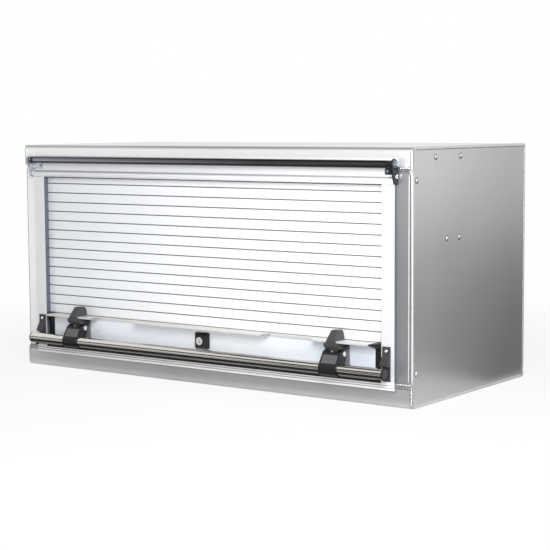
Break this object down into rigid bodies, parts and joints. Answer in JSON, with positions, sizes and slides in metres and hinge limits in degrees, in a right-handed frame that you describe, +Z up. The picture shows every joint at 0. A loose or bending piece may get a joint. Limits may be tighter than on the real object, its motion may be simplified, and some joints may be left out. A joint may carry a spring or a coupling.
{
  "type": "roll front tool cabinet",
  "caption": "Wide sheet aluminium tool cabinet whose doorway is closed by a curtain of hinged hollow slats that rolls up behind a header, with a lift-bar latch and key lock on its bottom rail.",
  "frame": {"origin": "middle of the underside", "axes": "+X to the cabinet's right along its width, -Y out of the doorway, +Z up"},
  "size_m": [1.2256, 0.6137, 0.6],
  "materials": {
    "sheet": "mill-finish sheet",
    "anodised": "satin anodised extrusion",
    "header_metal": "satin anodised extrusion",
    "sill_metal": "satin anodised extrusion",
    "slat_metal": "satin anodised extrusion",
    "rail_metal": "satin anodised extrusion",
    "stainless": "polished stainless tube",
    "bright_steel": "bright plated",
    "zinc_steel": "zinc plated",
    "spring_steel": "oiled spring steel",
    "rivet_metal": "bright domed",
    "black_steel": "black powder coat",
    "dark_tube": "dark satin coat",
    "black_plastic": "moulded, fine grain",
    "rubber": "black elastomer",
    "webbing": "woven strap"
  },
  "bodies": {
    "cabinet": {"body_wrap": "sheet", "side_panel_left": "sheet", "side_panel_right": "sheet", "guide_left": "anodised", "guide_right": "anodised", "guide_seal_left": "rubber", "guide_seal_right": "rubber", "header_rail": "header_metal", "header_seal": "rubber", "sill_rail": "sill_metal", "striker_left": "black_plastic", "striker_right": "black_plastic", "header_bracket_left": "black_steel", "header_bracket_right": "black_steel", "roller_bolts": "bright_steel", "drum_bracket_left": "zinc_steel", "drum_bracket_right": "zinc_steel", "drum_axle": "zinc_steel", "drum_spring": "spring_steel", "leader_straps": "webbing", "panel_rivets": "rivet_metal"},
    "roller": {"header_roller": "dark_tube", "roller_plugs": "black_plastic"},
    "drum": {"drum_tube": "anodised", "drum_plugs": "black_plastic", "strap_turns": "webbing"},
    "door": {"bottom_rail": "rail_metal", "rail_end_left": "black_plastic", "rail_end_right": "black_plastic", "bottom_seal": "rubber", "lock_housing": "black_plastic", "clamp_base_left": "black_plastic", "clamp_base_right": "black_plastic", "clamp_pins": "bright_steel"},
    "lock": {"lock_cylinder": "bright_steel", "lock_cam": "zinc_steel"},
    "latch_bar": {"lift_bar": "stainless", "bar_end_left": "black_plastic", "bar_end_right": "black_plastic", "clamp_arm_left": "black_plastic", "clamp_arm_right": "black_plastic"},
    "slat_01": {"slat_01": "slat_metal"},
    "slat_02": {"slat_02": "slat_metal"},
    "slat_03": {"slat_03": "slat_metal"},
    "slat_04": {"slat_04": "slat_metal"},
    "slat_05": {"slat_05": "slat_metal"},
    "slat_06": {"slat_06": "slat_metal"},
    "slat_07": {"slat_07": "slat_metal"},
    "slat_08": {"slat_08": "slat_metal"},
    "slat_09": {"slat_09": "slat_metal"},
    "slat_10": {"slat_10": "slat_metal"},
    "slat_11": {"slat_11": "slat_metal"},
    "slat_12": {"slat_12": "slat_metal"},
    "slat_13": {"slat_13": "slat_metal"},
    "slat_14": {"slat_14": "slat_metal"},
    "slat_15": {"slat_15": "slat_metal"}
  },
  "joints": [
    {"name": "door_slide", "type": "slide", "parent": "cabinet", "child": "door", "axis": [0, 0, 1], "range_m": [0, 0.342], "deforming": ["leader_straps", "slat_03", "slat_04", "slat_05", "slat_06", "slat_07", "slat_08", "slat_09", "slat_10", "slat_11", "slat_12", "slat_13", "slat_14", "slat_15"]},
    {"name": "slat_01_slide", "type": "slide", "parent": "cabinet", "child": "slat_01", "axis": [0, 0, 1], "range_m": [0, 0.343]},
    {"name": "slat_02_slide", "type": "slide", "parent": "cabinet", "child": "slat_02", "axis": [0, 0, 1], "range_m": [0, 0.343]},
    {"name": "slat_03_slide", "type": "slide", "parent": "cabinet", "child": "slat_03", "axis": [0, 0, 1], "range_m": [0, 0.336]},
    {"name": "slat_04_slide", "type": "slide", "parent": "cabinet", "child": "slat_04", "axis": [0, 0, 1], "range_m": [0, 0.311]},
    {"name": "slat_05_slide", "type": "slide", "parent": "cabinet", "child": "slat_05", "axis": [0, 0, 1], "range_m": [0, 0.286]},
    {"name": "slat_06_slide", "type": "slide", "parent": "cabinet", "child": "slat_06", "axis": [0, 0, 1], "range_m": [0, 0.261]},
    {"name": "slat_07_slide", "type": "slide", "parent": "cabinet", "child": "slat_07", "axis": [0, 0, 1], "range_m": [0, 0.236]},
    {"name": "slat_08_slide", "type": "slide", "parent": "cabinet", "child": "slat_08", "axis": [0, 0, 1], "range_m": [0, 0.211]},
    {"name": "slat_09_slide", "type": "slide", "parent": "cabinet", "child": "slat_09", "axis": [0, 0, 1], "range_m": [0, 0.186]},
    {"name": "slat_10_slide", "type": "slide", "parent": "cabinet", "child": "slat_10", "axis": [0, 0, 1], "range_m": [0, 0.161]},
    {"name": "slat_11_slide", "type": "slide", "parent": "cabinet", "child": "slat_11", "axis": [0, 0, 1], "range_m": [0, 0.136]},
    {"name": "slat_12_slide", "type": "slide", "parent": "cabinet", "child": "slat_12", "axis": [0, 0, 1], "range_m": [0, 0.111]},
    {"name": "slat_13_slide", "type": "slide", "parent": "cabinet", "child": "slat_13", "axis": [0, 0, 1], "range_m": [0, 0.086]},
    {"name": "slat_14_slide", "type": "slide", "parent": "cabinet", "child": "slat_14", "axis": [0, 0, 1], "range_m": [0, 0.061]},
    {"name": "slat_15_slide", "type": "slide", "parent": "cabinet", "child": "slat_15", "axis": [0, 0, 1], "range_m": [0, 0.036]},
    {"name": "drum_turn", "type": "hinge", "parent": "cabinet", "child": "drum", "pos_m": [0, -0.112, 0.49], "axis": [-1, 0, 0], "range_deg": [0, 437]},
    {"name": "latch_bar_swing", "type": "hinge", "parent": "door", "child": "latch_bar", "pos_m": [0, -0.298, 0.117], "axis": [-1, 0, 0], "range_deg": [0, 25]},
    {"name": "lock_turn", "type": "hinge", "parent": "door", "child": "lock", "pos_m": [0, -0.29, 0.112], "axis": [0, 1, 0], "range_deg": [0, 90]},
    {"name": "roller_spin", "type": "hinge", "parent": "cabinet", "child": "roller", "pos_m": [0, -0.298, 0.561], "axis": [1, 0, 0], "continuous": true}
  ],
  "couplings": [
    {"joint": "slat_01_slide", "follows": "door_slide", "ratio": 1},
    {"joint": "slat_02_slide", "follows": "door_slide", "ratio": 1},
    {"joint": "slat_03_slide", "follows": "door_slide", "ratio": 0.9795},
    {"joint": "slat_04_slide", "follows": "door_slide", "ratio": 0.9064},
    {"joint": "slat_05_slide", "follows": "door_slide", "ratio": 0.8333},
    {"joint": "slat_06_slide", "follows": "door_slide", "ratio": 0.7602},
    {"joint": "slat_07_slide", "follows": "door_slide", "ratio": 0.6871},
    {"joint": "slat_08_slide", "follows": "door_slide", "ratio": 0.614},
    {"joint": "slat_09_slide", "follows": "door_slide", "ratio": 0.5409},
    {"joint": "slat_10_slide", "follows": "door_slide", "ratio": 0.4678},
    {"joint": "slat_11_slide", "follows": "door_slide", "ratio": 0.3947},
    {"joint": "slat_12_slide", "follows": "door_slide", "ratio": 0.3216},
    {"joint": "slat_13_slide", "follows": "door_slide", "ratio": 0.2485},
    {"joint": "slat_14_slide", "follows": "door_slide", "ratio": 0.1754},
    {"joint": "slat_15_slide", "follows": "door_slide", "ratio": 0.1023},
    {"joint": "drum_turn", "follows": "door_slide", "rad_per_m": 22.222}
  ]
}
